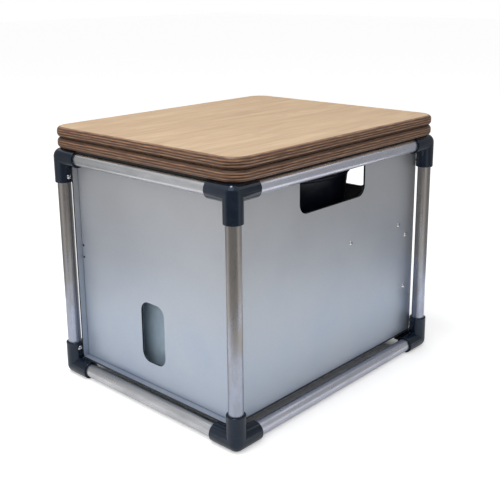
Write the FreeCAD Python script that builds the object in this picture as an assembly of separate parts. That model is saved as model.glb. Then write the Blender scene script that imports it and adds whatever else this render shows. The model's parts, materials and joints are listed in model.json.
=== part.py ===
import FreeCAD, Part
import math
import os
from FreeCAD import Vector

# A urine-diverting dry toilet: a box of thin composite panels inside a frame of round tube, with a
# hinged plywood seat board and lid on top, and a bucket, a canister and a separator inside.
# Millimetres. X to the right, Y to the back, Z up. The origin is on the ground under the middle.

X_AXIS = Vector(1, 0, 0)
Y_AXIS = Vector(0, 1, 0)
Z_AXIS = Vector(0, 0, 1)
SIDES = (("left", -1), ("right", 1))
ENDS = (("front", -1), ("rear", 1))
LEVELS = (("bottom", -1), ("top", 1))

# General
overrun = 1.0
rest_gap = 0.3
fit_clearance = 0.05
hole_clearance = 0.15

# Tube frame, measured between tube axes
frame_width = 342.0
frame_depth = 430.0
frame_height = 326.9
tube_diameter = 20.0
tube_wall = 1.5

# Corner connectors
connector_wall = 3.0
socket_reach = 38.0
socket_stop = 15.0
socket_lip_radius = 0.9
foot_flat_width = 8.0
connector_screw_distance = 29.0

# Composite panels
panel_thickness = 3.0
panel_setback = 4.0
panel_joint = 0.6
panel_corner_radius = 4.0
grip_width = 149.0
grip_depth = 47.7
back_notch_depth = 71.5
grip_corner_radius = 15.5
slot_width = 48.0
slot_height = 90.0
slot_sill_height = 48.0
slot_corner_radius = 15.0

# Small fasteners
screw_head_diameter = 7.6
screw_head_height = 2.2
screw_diameter = 4.0
connector_screw_length = 8.0
nut_width = 7.0
nut_height = 3.2
nut_stickout = 1.0
board_screw_diameter = 3.5
board_screw_head_diameter = 7.0
board_screw_head_height = 1.8
board_screw_length = 9.0
pin_head_diameter = 4.0
pin_head_height = 1.0
pin_diameter = 2.4

# Brackets behind the panels
bracket_leg = 20.0
bracket_thickness = 2.0
bracket_height = 30.0
bracket_screw_inset = 11.0
rear_bracket_drop = 20.0
front_bracket_drop = 18.0
pin_spacing = 18.0
pin_inset = 3.5
floor_angle_leg = 15.0
floor_angle_thickness = 1.5
floor_angle_end_gap = 8.0

# Side rails and the bar that keeps the bucket in place
rail_level = 201.0
rail_leg = 15.0
rail_thickness = 2.0
rail_screw_pitch = 124.8
rail_end_margin = 10.0
rail_bracket_gap = 1.6
stay_width = 12.0
stay_thickness = 3.0
stay_end_gap = 0.8
stay_rear_margin = 12.0
stay_screw_inset = 6.0

# Plywood boards
board_thickness = 15.3
board_side_overhang = 14.7
board_end_overhang = 10.2
board_corner_radius = 28.0
board_edge_radius = 6.0
seat_hole_side_margin = 21.0
seat_hole_rear_margin = 33.0
seat_hole_edge_radius = 5.0
seal_width = 9.0
seal_gap = 0.1
seal_end_gap = 1.0

# Urine separator
separator_wall = 2.5
separator_clearance = 1.0
flange_margin = 17.0
flange_corner_radius = 62.0
flange_screw_margin = 8.0
basin_depth = 50.0
chute_depth = 50.0
divider_back = -20.0
drain_setback = 18.0
funnel_top_radius = 150.0
spout_diameter = 20.0
spout_entry = 12.0

# Canister
canister_side_gap = 10.0
canister_depth = 90.0
canister_height = 170.0
canister_wall = 2.0
canister_corner_radius = 24.0
canister_edge_radius = 14.0
canister_panel_gap = 16.0
neck_diameter = 50.0
neck_height = 20.0
neck_bead = 2.0
spout_offset = 6.0

# Bucket: as large as the room between the side panels, the canister and the bar allows
bucket_side_room = 21.0
bucket_head_room = 40.0
bucket_canister_gap = 22.0
bucket_stay_gap = 1.0
bucket_taper = 35.0
bucket_wall = 2.0
bucket_rim_radius = 3.0
bucket_foot_height = 4.0
ear_drop = 15.0
ear_radius = 7.0
bail_diameter = 4.0
bail_clearance = 5.0
bail_wall_gap = 1.7
bail_grip_diameter = 11.0
bail_grip_angle = 34.0

# Seat hinge: tube clips round the rear top rail
clip_end_gap = 5.4
clip_width = 30.0
clip_wall = 2.9
clip_plate_length = 26.0
clip_plate_thickness = 2.9
clip_screw_setback = 18.0
clip_screw_spread = 16.0

# Lid hinges
hinge_offset = 100.0
hinge_width = 50.0
knuckle_radius = 3.1
knuckle_count = 5
knuckle_gap = 0.3
hinge_pin_radius = 1.5
hinge_overhang = -0.3
leaf_thickness = 1.2
leaf_length = 24.0
leaf_screw_setback = 6.0
leaf_screw_spread = 32.0
leaf_screw_head_height = 0.8
leaf_screw_diameter = 3.0
leaf_screw_head_diameter = 5.6

# Places worked out from the sizes above
half_width = frame_width / 2
half_depth = frame_depth / 2
tube_radius = tube_diameter / 2
connector_radius = tube_radius + connector_wall
axis_low = math.sqrt(connector_radius ** 2 - (foot_flat_width / 2) ** 2)
axis_high = axis_low + frame_height
side_outer = half_width - connector_radius
side_inner = side_outer - panel_thickness
end_outer = half_depth - connector_radius
end_inner = end_outer - panel_thickness
panel_reach = half_depth - panel_setback
floor_bottom = axis_low + math.sqrt(connector_radius ** 2 - panel_setback ** 2)
floor_top = floor_bottom + panel_thickness
panel_top = axis_high - math.sqrt(connector_radius ** 2 - panel_setback ** 2)
seat_bottom = axis_high + connector_radius + rest_gap
seat_top = seat_bottom + board_thickness
lid_bottom = seat_top + rest_gap
lid_top = lid_bottom + board_thickness
board_half_width = half_width + board_side_overhang
board_half_depth = half_depth + board_end_overhang
hinge_y = board_half_depth + hinge_overhang
hinge_z = (seat_top + lid_bottom) / 2
clip_offset = half_width - socket_reach - clip_end_gap - clip_width / 2
rear_bracket_level = rail_level - rear_bracket_drop
front_bracket_level = rail_level - front_bracket_drop
rail_low = axis_low + rail_level - rail_leg / 2
rail_shelf = rail_low + rail_thickness
rail_rear = end_inner - bracket_leg - rail_bracket_gap
rail_screw_rear = rail_rear - rail_end_margin
rail_screw_front = rail_screw_rear - rail_screw_pitch
stay_top = rail_shelf + stay_thickness
stay_front = rail_rear - stay_rear_margin - stay_width
canister_front = -end_inner + canister_panel_gap
canister_rear = canister_front + canister_depth
canister_top = floor_top + canister_height
neck_y = (canister_front + canister_rear) / 2
drain_y = neck_y + spout_offset
bucket_bottom = floor_top
bucket_top = seat_bottom - separator_wall - bucket_head_room
bucket_height = bucket_top - bucket_bottom


def bucket_narrowing(z):
    """How much smaller the bucket's radius is at a height than at its top."""
    return bucket_taper * (bucket_top - z) / bucket_height


room_beside = side_inner - bucket_side_room - bail_diameter / 2 - bail_clearance - bucket_rim_radius
depth_left = stay_front - bucket_stay_gap - canister_rear - bucket_canister_gap
room_behind = (depth_left + bucket_narrowing(canister_top) + bucket_narrowing(stay_top)) / 2
bucket_top_radius = min(room_beside, room_behind)
bucket_base_radius = bucket_top_radius - bucket_taper
bucket_back = stay_front - bucket_stay_gap - bucket_top_radius + bucket_narrowing(stay_top)
seat_hole_radius = bucket_top_radius - seat_hole_side_margin
seat_hole_front = drain_y - drain_setback - separator_clearance
seat_hole_rear = bucket_back + bucket_top_radius - seat_hole_rear_margin


def box(x0, x1, y0, y1, z0, z1):
    """A box between two corners."""
    low = Vector(min(x0, x1), min(y0, y1), min(z0, z1))
    return Part.makeBox(abs(x1 - x0), abs(y1 - y0), abs(z1 - z0), low)


def rod(radius, start, end):
    """A round bar from one point to another."""
    return Part.makeCylinder(radius, (end - start).Length, start, end - start)


def group(solids):
    """Separate solids in one node."""
    return solids[0] if len(solids) == 1 else Part.makeCompound(solids)


def join(solids):
    """Solids fused into one, with the seams between flat faces removed."""
    result = solids[0]
    for solid in solids[1:]:
        result = result.fuse(solid)
    return result.removeSplitter()


def near(value, target, tolerance=0.01):
    """True for two lengths that are the same."""
    return abs(value - target) < tolerance


def edges_along(shape, axis):
    """The straight edges of a shape that run along one axis."""
    found = []
    for edge in shape.Edges:
        run = edge.lastVertex().Point - edge.firstVertex().Point
        if run.Length > 0 and near(abs(run.normalize().dot(axis)), 1):
            found.append(edge)
    return found


def level_edges(shape, level):
    """The edges of a shape that lie at one height."""
    found = []
    for edge in shape.Edges:
        bounds = edge.BoundBox
        if near(bounds.ZMin, level) and near(bounds.ZMax, level):
            found.append(edge)
    return found


def slab(x0, x1, y0, y1, z0, z1, corner_radius, edge_radius=0):
    """A plate with rounded corners in plan and, if asked, rounded top and bottom edges."""
    plate = box(x0, x1, y0, y1, z0, z1)
    plate = plate.makeFillet(corner_radius, edges_along(plate, Z_AXIS))
    if edge_radius:
        plate = plate.makeFillet(edge_radius, level_edges(plate, z0) + level_edges(plate, z1))
    return plate


def d_prism(radius, straight_y, round_y, z0, z1):
    """A D in plan: a straight side at straight_y and a half round about round_y, pushed up from z0."""
    turn = math.copysign(radius, round_y - straight_y)
    corner_a = Vector(-radius, straight_y, z0)
    corner_b = Vector(radius, straight_y, z0)
    shoulder_b = Vector(radius, round_y, z0)
    crown = Vector(0, round_y + turn, z0)
    shoulder_a = Vector(-radius, round_y, z0)
    outline = Part.Wire([Part.makeLine(corner_a, corner_b), Part.makeLine(corner_b, shoulder_b),
                         Part.Arc(shoulder_b, crown, shoulder_a).toShape(),
                         Part.makeLine(shoulder_a, corner_a)])
    return Part.Face(outline).extrude(Vector(0, 0, z1 - z0))


def oval_prism(radius, front_y, rear_y, z0, z1):
    """Two half rounds with straight sides between them, from front_y to rear_y over all."""
    middle = (front_y + rear_y) / 2
    front = d_prism(radius, middle, front_y + radius, z0, z1)
    rear = d_prism(radius, middle, rear_y - radius, z0, z1)
    return join([front, rear])


def dome_screw(point, direction, grip, head_diameter, head_height, diameter):
    """A dome-head screw: its head stands at point, and its shank goes grip deep along direction."""
    head_radius = head_diameter / 2
    ball_radius = (head_radius ** 2 + head_height ** 2) / (2 * head_height)
    ball = Part.makeSphere(ball_radius, point + direction * (ball_radius - head_height))
    keep = rod(head_radius + overrun, point - direction * (head_height + overrun), point)
    return join([ball.common(keep), rod(diameter / 2, point, point + direction * grip)])


def hex_nut(point, direction):
    """A hexagon nut with its bearing face at point."""
    across = nut_width / math.cos(math.pi / 6)
    side = direction.cross(Z_AXIS if abs(direction.z) < abs(direction.x) + abs(direction.y) else X_AXIS)
    side.normalize()
    turn = FreeCAD.Rotation(direction, 60)
    spoke = side * (across / 2)
    points = []
    for corner in range(6):
        points.append(point + spoke)
        spoke = turn.multVec(spoke)
    outline = Part.makePolygon(points + [points[0]])
    nut = Part.Face(outline).extrude(direction * nut_height)
    end = point + direction * (nut_height + overrun)
    return nut.cut(rod(screw_diameter / 2 + fit_clearance, point - direction * overrun, end))


def drill(shape, point, direction, depth, diameter):
    """A clearance hole for a screw, past both faces by the overrun."""
    start = point - direction * overrun
    return shape.cut(rod(diameter / 2 + hole_clearance, start, point + direction * (depth + overrun)))


def node_point(sx, sy, sz):
    """The point where three tube axes meet."""
    return Vector(sx * half_width, sy * half_depth, axis_high if sz > 0 else axis_low)


# Tubes: each runs between two connectors and stops short of the point where the axes meet
def tube(start, end):
    along = (end - start).normalize()
    start = start + along * socket_stop
    end = end - along * socket_stop
    bore = rod(tube_radius - tube_wall, start - along * overrun, end + along * overrun)
    return rod(tube_radius, start, end).cut(bore)


def connector_screw_point(sx, sy, sz):
    """Where a connector's screw head sits, on the inner side of its upright socket."""
    node = node_point(sx, sy, sz)
    return node + Vector(-sx * connector_radius, 0, -sz * connector_screw_distance)


def make_tubes():
    parts = {}
    for side, sx in SIDES:
        for end, sy in ENDS:
            post = tube(node_point(sx, sy, -1), node_point(sx, sy, 1))
            for level, sz in LEVELS:
                point = connector_screw_point(sx, sy, sz)
                post = drill(post, point, Vector(sx, 0, 0), connector_screw_length, board_screw_diameter)
            parts["post_%s_%s" % (end, side)] = post
        for level, sz in LEVELS:
            parts["rail_%s_%s" % (level, side)] = tube(node_point(sx, -1, sz), node_point(sx, 1, sz))
    for end, sy in ENDS:
        for level, sz in LEVELS:
            parts["rail_%s_%s" % (level, end)] = tube(node_point(-1, sy, sz), node_point(1, sy, sz))
    return parts


# Corner connectors: three sockets round one ball, with a small flat under each of the lower four
def connector(sx, sy, sz):
    node = node_point(sx, sy, sz)
    directions = (Vector(-sx, 0, 0), Vector(0, -sy, 0), Vector(0, 0, -sz))
    body = Part.makeSphere(connector_radius, node)
    for direction in directions:
        mouth = node + direction * socket_reach
        socket = rod(connector_radius, node, mouth)
        rim = [edge for edge in socket.Edges if near((edge.CenterOfMass - mouth).Length, 0)]
        body = body.fuse(socket.makeFillet(socket_lip_radius, rim))
    for direction in directions:
        bore_start = node + direction * socket_stop
        bore_end = node + direction * (socket_reach + overrun)
        body = body.cut(rod(tube_radius + fit_clearance, bore_start, bore_end))
    if sz < 0:
        reach = socket_reach + overrun
        foot = box(node.x - reach, node.x + reach, node.y - reach, node.y + reach, -reach, 0)
        body = body.cut(foot)
    point = connector_screw_point(sx, sy, sz)
    return drill(body, point, Vector(sx, 0, 0), connector_wall, board_screw_diameter)


def make_connectors():
    parts = {}
    screws = []
    for level, sz in LEVELS:
        for end, sy in ENDS:
            for side, sx in SIDES:
                parts["connector_%s_%s_%s" % (level, end, side)] = connector(sx, sy, sz)
                point = connector_screw_point(sx, sy, sz)
                screws.append(dome_screw(point, Vector(sx, 0, 0), connector_screw_length,
                                         screw_head_diameter, screw_head_height, board_screw_diameter))
    parts["connector_screws"] = group(screws)
    return parts


# Where the panel screws sit: height and distance back, the same on both sides
def side_screw_places():
    bracket_y = end_inner - bracket_screw_inset
    rail_z = axis_low + rail_level
    bracket_z = axis_low + rear_bracket_level
    return ((rail_screw_front, rail_z), (rail_screw_rear, rail_z), (bracket_y, bracket_z))


def side_panel(sx):
    inner = sx * side_inner
    outer = sx * side_outer
    panel = box(inner, outer, -panel_reach, panel_reach, floor_top, panel_top)
    panel = panel.makeFillet(panel_corner_radius, edges_along(panel, X_AXIS))
    past = sx * overrun
    grip_top = panel_top + grip_corner_radius + overrun
    grip = box(inner - past, outer + past, -grip_width / 2, grip_width / 2,
               panel_top - grip_depth, grip_top)
    grip = grip.makeFillet(grip_corner_radius, edges_along(grip, X_AXIS))
    panel = panel.cut(grip)
    for y, z in side_screw_places():
        panel = drill(panel, Vector(outer, y, z), Vector(-sx, 0, 0), panel_thickness, screw_diameter)
    return panel


def end_panel(sy):
    """The front or back panel without its opening, held between the side panels."""
    reach = side_inner - panel_joint
    return box(-reach, reach, sy * end_inner, sy * end_outer, floor_top + panel_joint, panel_top)


def front_pin_places():
    """The pins near the two upright edges of the front panel."""
    level = axis_low + front_bracket_level
    places = []
    for side, sx in SIDES:
        for step in (-1, 1):
            x = sx * (side_inner - pin_inset)
            places.append(Vector(x, -end_outer, level + step * pin_spacing / 2))
    return places


def make_panels():
    parts = {}
    for side, sx in SIDES:
        parts["panel_%s" % side] = side_panel(sx)
    low = axis_low + slot_sill_height
    slot = box(-slot_width / 2, slot_width / 2, -end_outer - overrun, -end_inner + overrun,
               low, low + slot_height)
    slot = slot.makeFillet(slot_corner_radius, edges_along(slot, Y_AXIS))
    front = end_panel(-1).cut(slot)
    for point in front_pin_places():
        front = drill(front, point, Y_AXIS, panel_thickness, pin_diameter)
    parts["panel_front"] = front
    notch = box(-grip_width / 2, grip_width / 2, end_inner - overrun, end_outer + overrun,
                panel_top - back_notch_depth, panel_top + grip_corner_radius + overrun)
    notch = notch.makeFillet(grip_corner_radius, edges_along(notch, Y_AXIS))
    back = end_panel(1).cut(notch)
    for side, sx in SIDES:
        point = Vector(sx * (side_inner - bracket_screw_inset), end_outer, axis_low + rear_bracket_level)
        back = drill(back, point, -Y_AXIS, panel_thickness, screw_diameter)
    parts["panel_back"] = back
    floor = box(-side_outer, side_outer, -panel_reach, panel_reach, floor_bottom, floor_top)
    parts["panel_floor"] = floor.makeFillet(panel_corner_radius, edges_along(floor, Z_AXIS))
    return parts


# Brackets: an angle in each upright corner, and a long angle along each side of the floor
def corner_bracket(sx, sy, level):
    x = sx * side_inner
    y = sy * end_inner
    low = axis_low + level - bracket_height / 2
    side_leg = box(x, x - sx * bracket_thickness, y, y - sy * bracket_leg, low, low + bracket_height)
    end_leg = box(x, x - sx * bracket_leg, y, y - sy * bracket_thickness, low, low + bracket_height)
    return join([side_leg, end_leg])


def make_brackets():
    parts = {}
    for side, sx in SIDES:
        rear = corner_bracket(sx, 1, rear_bracket_level)
        level = axis_low + rear_bracket_level
        side_hole = Vector(sx * side_inner, end_inner - bracket_screw_inset, level)
        end_hole = Vector(sx * (side_inner - bracket_screw_inset), end_inner, level)
        rear = drill(rear, side_hole, Vector(-sx, 0, 0), bracket_thickness, screw_diameter)
        parts["bracket_rear_%s" % side] = drill(rear, end_hole, -Y_AXIS, bracket_thickness, screw_diameter)
        front = corner_bracket(sx, -1, front_bracket_level)
        for point in front_pin_places():
            start = Vector(point.x, -end_inner, point.z)
            front = drill(front, start, Y_AXIS, bracket_thickness, pin_diameter)
        parts["bracket_front_%s" % side] = front
        x = sx * side_inner
        reach = end_inner - floor_angle_end_gap
        foot = box(x, x - sx * floor_angle_leg, -reach, reach, floor_top, floor_top + floor_angle_thickness)
        wall = box(x, x - sx * floor_angle_thickness, -reach, reach, floor_top, floor_top + floor_angle_leg)
        parts["floor_angle_%s" % side] = join([foot, wall])
    return parts


# Side rails and the bar across them, which the bucket leans against
def stay_half_length():
    return side_inner - rail_thickness - nut_height - nut_stickout - stay_end_gap


def stay_screw_point(sx):
    """Where the head of a screw sits on the bar."""
    return Vector(sx * (stay_half_length() - stay_screw_inset), stay_front + stay_width / 2, stay_top)


def make_rails():
    parts = {}
    front_y = rail_screw_front - rail_end_margin
    reach = stay_half_length()
    stay = box(-reach, reach, stay_front, stay_front + stay_width, rail_shelf, stay_top)
    for side, sx in SIDES:
        x = sx * side_inner
        upright = box(x, x - sx * rail_thickness, front_y, rail_rear, rail_low, rail_low + rail_leg)
        ledge = box(x, x - sx * rail_leg, front_y, rail_rear, rail_low, rail_shelf)
        rail = join([upright, ledge])
        for y in (rail_screw_front, rail_screw_rear):
            start = Vector(x, y, axis_low + rail_level)
            rail = drill(rail, start, Vector(-sx, 0, 0), rail_thickness, screw_diameter)
        point = stay_screw_point(sx)
        rail = drill(rail, point, -Z_AXIS, stay_thickness + rail_thickness, screw_diameter)
        stay = drill(stay, point, -Z_AXIS, stay_thickness, screw_diameter)
        parts["bucket_rail_%s" % side] = rail
    parts["bucket_stay"] = stay
    return parts


def bolt(point, direction, grip):
    """A panel screw and its nut, clamping a stack of the given thickness."""
    screw = dome_screw(point, direction, grip + nut_height + nut_stickout,
                       screw_head_diameter, screw_head_height, screw_diameter)
    return screw, hex_nut(point + direction * grip, direction)


def make_panel_screws():
    pairs = []
    for side, sx in SIDES:
        inward = Vector(-sx, 0, 0)
        for y, z in side_screw_places():
            pairs.append(bolt(Vector(sx * side_outer, y, z), inward, panel_thickness + bracket_thickness))
        point = Vector(sx * (side_inner - bracket_screw_inset), end_outer, axis_low + rear_bracket_level)
        pairs.append(bolt(point, -Y_AXIS, panel_thickness + bracket_thickness))
        pairs.append(bolt(stay_screw_point(sx), -Z_AXIS, stay_thickness + rail_thickness))
    pins = []
    for point in front_pin_places():
        pins.append(dome_screw(point, Y_AXIS, panel_thickness + bracket_thickness,
                               pin_head_diameter, pin_head_height, pin_diameter))
    return {"panel_screws": group([pair[0] for pair in pairs]),
            "panel_nuts": group([pair[1] for pair in pairs]), "panel_pins": group(pins)}


# Plywood boards: the same outline twice, the lower one with the seat hole
def board(z0, z1):
    return slab(-board_half_width, board_half_width, -board_half_depth, board_half_depth, z0, z1,
                board_corner_radius, board_edge_radius)


def hinge_recess(z0, z1):
    """The shallow seats for the two hinge leaves at the rear edge of a board, and room for the barrels."""
    cuts = []
    for side, sx in SIDES:
        x = sx * hinge_offset
        reach = hinge_width / 2 + hole_clearance
        cuts.append(box(x - reach, x + reach, hinge_y - leaf_length - hole_clearance,
                        hinge_y + overrun, z0, z1))
        cuts.append(rod(knuckle_radius + knuckle_gap, Vector(x - reach, hinge_y, hinge_z),
                        Vector(x + reach, hinge_y, hinge_z)))
    return cuts


def leaf_screw_places(sx):
    """The two screws of one hinge leaf, in plan."""
    places = []
    for step in (-1, 1):
        x = sx * hinge_offset + step * leaf_screw_spread / 2
        places.append((x, hinge_y - leaf_length + leaf_screw_setback))
    return places


def make_boards():
    seat = board(seat_bottom, seat_top)
    hole = oval_prism(seat_hole_radius, seat_hole_front, seat_hole_rear,
                      seat_bottom - overrun, seat_top + overrun)
    seat = seat.cut(hole)
    rim = []
    for edge in level_edges(seat, seat_top):
        bounds = edge.BoundBox
        if max(abs(bounds.XMin), abs(bounds.XMax)) < seat_hole_radius + overrun:
            if bounds.YMin > seat_hole_front - overrun and bounds.YMax < seat_hole_rear + overrun:
                rim.append(edge)
    seat = seat.makeFillet(seat_hole_edge_radius, rim)
    lid = board(lid_bottom, lid_top)
    for cut in hinge_recess(seat_top - leaf_thickness, seat_top + overrun):
        seat = seat.cut(cut)
    for cut in hinge_recess(lid_bottom - overrun, lid_bottom + leaf_thickness):
        lid = lid.cut(cut)
    for side, sx in SIDES:
        for x, y in leaf_screw_places(sx):
            seat = drill(seat, Vector(x, y, seat_top - leaf_thickness), -Z_AXIS,
                         board_screw_length - overrun, leaf_screw_diameter)
            lid = drill(lid, Vector(x, y, lid_bottom + leaf_thickness), Z_AXIS,
                        board_screw_length - overrun, leaf_screw_diameter)
        for x, y in clip_screw_places(sx):
            seat = drill(seat, Vector(x, y, seat_bottom), Z_AXIS,
                         board_screw_length - overrun, board_screw_diameter)
    for x, y in flange_screw_places():
        seat = drill(seat, Vector(x, y, seat_bottom), Z_AXIS,
                     board_screw_length - overrun, board_screw_diameter)
    return {"seat_board": seat, "lid_board": lid}


def make_seals():
    """Foam strips under the seat board, along the front and side rails, between the connectors."""
    half = seal_width / 2
    low = axis_high + tube_radius + seal_gap
    x_reach = half_width - socket_reach - seal_end_gap
    y_reach = half_depth - socket_reach - seal_end_gap
    strips = [box(-x_reach, x_reach, -half_depth - half, -half_depth + half, low, seat_bottom)]
    for side, sx in SIDES:
        strips.append(box(sx * half_width - half, sx * half_width + half, -y_reach, y_reach, low, seat_bottom))
    return {"seat_seals": group(strips)}


# Separator: a flange under the seat board, a sloping front basin with a spout, and a rear chute
def flange_bounds():
    x = seat_hole_radius + flange_margin
    return x, seat_hole_front - flange_margin, seat_hole_rear + flange_margin


def flange_screw_places():
    x, front, rear = flange_bounds()
    inset = flange_screw_margin
    slant = flange_corner_radius * (1 - math.sqrt(0.5)) + inset
    middle = (front + rear) / 2
    places = [(-x + inset, middle), (x - inset, middle)]
    for sx in (-1, 1):
        places.append((sx * (x - slant), front + slant))
        places.append((sx * (x - slant), rear - slant))
    return places


def make_separator():
    radius = seat_hole_radius - separator_clearance
    inner = radius - separator_wall
    front = seat_hole_front + separator_clearance
    rear = seat_hole_rear - separator_clearance
    top = seat_bottom
    flange_low = top - separator_wall
    x, flange_front, flange_rear = flange_bounds()
    flange = slab(-x, x, flange_front, flange_rear, flange_low, top, flange_corner_radius)
    chute_front = divider_back - separator_wall
    chute = d_prism(radius, chute_front, rear - radius, top - chute_depth, top)
    basin_wall = d_prism(radius, divider_back, front + radius, top - basin_depth, top)
    drain = Vector(0, drain_y, 0)
    spout_radius = spout_diameter / 2
    low = top - basin_depth
    funnel = Part.makeCone(spout_radius, funnel_top_radius, basin_depth, drain + Vector(0, 0, low))
    basin = basin_wall.common(funnel)
    spout_low = canister_top + neck_height - spout_entry
    spout = rod(spout_radius, drain + Vector(0, 0, spout_low), drain + Vector(0, 0, low + separator_wall))
    body = join([flange, chute, basin, spout])
    chute_inner = d_prism(inner, divider_back, rear - radius, top - chute_depth - overrun, top + overrun)
    basin_inner = d_prism(inner, chute_front, front + radius, low, top + overrun)
    hollow_funnel = Part.makeCone(spout_radius, funnel_top_radius, basin_depth,
                                  drain + Vector(0, 0, low + separator_wall))
    body = body.cut(chute_inner).cut(basin_inner.common(hollow_funnel))
    bore = rod(spout_radius - separator_wall, drain + Vector(0, 0, spout_low - overrun),
               drain + Vector(0, 0, low + 2 * separator_wall))
    body = body.cut(bore)
    screws = []
    for sx, sy in flange_screw_places():
        point = Vector(sx, sy, flange_low)
        body = drill(body, point, Z_AXIS, separator_wall, board_screw_diameter)
        screws.append(dome_screw(point, Z_AXIS, board_screw_length, board_screw_head_diameter,
                                 board_screw_head_height, board_screw_diameter))
    return {"separator": body, "separator_screws": group(screws)}


# Canister: a flat hollow tank in front of the bucket, with an open neck under the spout
def make_canister():
    half = side_inner - bracket_leg - canister_side_gap
    low = floor_top
    high = canister_top
    wall = canister_wall
    tank = slab(-half, half, canister_front, canister_rear, low, high,
                canister_corner_radius, canister_edge_radius)
    hollow = slab(-half + wall, half - wall, canister_front + wall, canister_rear - wall,
                  low + wall, high - wall, canister_corner_radius - wall, canister_edge_radius - wall)
    neck_centre = Vector(0, neck_y, 0)
    neck_top = high + neck_height
    radius = neck_diameter / 2
    neck = rod(radius, neck_centre + Vector(0, 0, high - wall), neck_centre + Vector(0, 0, neck_top))
    bead = rod(radius + neck_bead, neck_centre + Vector(0, 0, neck_top - neck_height / 2),
               neck_centre + Vector(0, 0, neck_top - neck_height / 2 + neck_bead))
    mouth = rod(radius - wall - neck_bead / 2, neck_centre + Vector(0, 0, high - 2 * wall),
                neck_centre + Vector(0, 0, neck_top + overrun))
    return {"urine_canister": join([tank, neck, bead]).cut(hollow).cut(mouth)}


# Bucket with a rolled rim and two ears, and its wire bail with a grip
def bail_tilt(wall_reach, bail_radius):
    """How far the bail hangs down at the left, in degrees: until its grip is a small gap from the wall."""
    slope = bucket_taper / bucket_height
    room = wall_reach + bail_grip_diameter / 2 + bail_wall_gap
    return math.degrees(math.atan(slope) + math.acos(room / (bail_radius * math.hypot(1, slope))))


def make_bucket():
    centre = Vector(0, bucket_back, 0)
    base = centre + Vector(0, 0, bucket_bottom)
    body = Part.makeCone(bucket_base_radius, bucket_top_radius, bucket_height, base)
    rim_z = bucket_top - bucket_rim_radius
    body = body.fuse(Part.makeTorus(bucket_top_radius, bucket_rim_radius, centre + Vector(0, 0, rim_z)))
    ear_z = bucket_top - ear_drop
    wall_reach = bucket_top_radius - bucket_narrowing(ear_z)
    bail_radius = bucket_top_radius + bucket_rim_radius + bail_clearance
    wire = bail_diameter / 2
    ear_end = bail_radius - wire - rest_gap
    for end, sy in ENDS:
        ear = rod(ear_radius, centre + Vector(0, sy * (wall_reach - bucket_wall), ear_z),
                  centre + Vector(0, sy * ear_end, ear_z))
        body = body.fuse(ear)
    inside = Part.makeCone(bucket_base_radius - bucket_wall, bucket_top_radius - bucket_wall,
                           bucket_height, base)
    keep = rod(bucket_top_radius * 2, base + Vector(0, 0, bucket_foot_height + bucket_wall),
               base + Vector(0, 0, bucket_height + overrun))
    body = body.cut(inside.common(keep))
    under = rod(bucket_base_radius - 2 * bucket_wall, base - Vector(0, 0, overrun),
                base + Vector(0, 0, bucket_foot_height))
    body = body.cut(under)
    ring = Part.makeTorus(bail_radius, wire, Vector(), Z_AXIS, 0, 360, 180)
    ring.rotate(Vector(), Z_AXIS, 90)
    pieces = [ring]
    for end, sy in ENDS:
        tip = Vector(0, sy * (wall_reach + overrun), 0)
        pieces.append(rod(wire, tip, Vector(0, sy * bail_radius, 0)))
        pieces.append(Part.makeSphere(wire, Vector(0, sy * bail_radius, 0)))
        start = centre + Vector(0, sy * wall_reach, ear_z)
        body = body.cut(rod(wire + fit_clearance, start, start + Vector(0, sy * ear_end, 0)))
    bail = join(pieces)
    grip_tube = Part.makeTorus(bail_radius, bail_grip_diameter / 2, Vector(), Z_AXIS, 0, 360, bail_grip_angle)
    grip_bore = Part.makeTorus(bail_radius, wire + fit_clearance, Vector(), Z_AXIS, 0, 360, bail_grip_angle)
    grip = grip_tube.cut(grip_bore)
    grip.rotate(Vector(), Z_AXIS, 180 - bail_grip_angle / 2)
    for shape in (bail, grip):
        shape.rotate(Vector(), Y_AXIS, -bail_tilt(wall_reach, bail_radius))
        shape.translate(centre + Vector(0, 0, ear_z))
    return {"solids_bucket": body, "bucket_bail": bail, "bail_grip": grip}


# Seat hinge: two clips that turn on the rear top rail and carry the seat board
def clip_screw_places(sx):
    places = []
    for step in (-1, 1):
        places.append((sx * clip_offset + step * clip_screw_spread / 2, half_depth - clip_screw_setback))
    return places


def make_seat_hinge():
    parts = {}
    screws = []
    for side, sx in SIDES:
        x0 = sx * clip_offset - clip_width / 2
        x1 = x0 + clip_width
        bore_radius = tube_radius + fit_clearance
        centre = Vector(0, half_depth, axis_high)
        ring = rod(bore_radius + clip_wall, centre + Vector(x0, 0, 0), centre + Vector(x1, 0, 0))
        plate = box(x0, x1, half_depth - clip_plate_length, half_depth,
                    seat_bottom - clip_plate_thickness, seat_bottom)
        clip = join([ring, plate])
        bore = rod(bore_radius, centre + Vector(x0 - overrun, 0, 0), centre + Vector(x1 + overrun, 0, 0))
        clip = clip.cut(bore)
        for x, y in clip_screw_places(sx):
            point = Vector(x, y, seat_bottom - clip_plate_thickness)
            clip = drill(clip, point, Z_AXIS, clip_plate_thickness, board_screw_diameter)
            screws.append(dome_screw(point, Z_AXIS, board_screw_length, board_screw_head_diameter,
                                     board_screw_head_height, board_screw_diameter))
        parts["seat_clip_%s" % side] = clip
    parts["seat_clip_screws"] = group(screws)
    return parts


def knuckle_spans(sx, owner):
    """The stretches of knuckle that belong to the lower leaf (owner 0) or the upper one (owner 1)."""
    pitch = hinge_width / knuckle_count
    left = sx * hinge_offset - hinge_width / 2
    spans = []
    for index in range(knuckle_count):
        if index % 2 == owner:
            spans.append((left + index * pitch + knuckle_gap / 2, left + (index + 1) * pitch - knuckle_gap / 2))
    return spans


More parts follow.
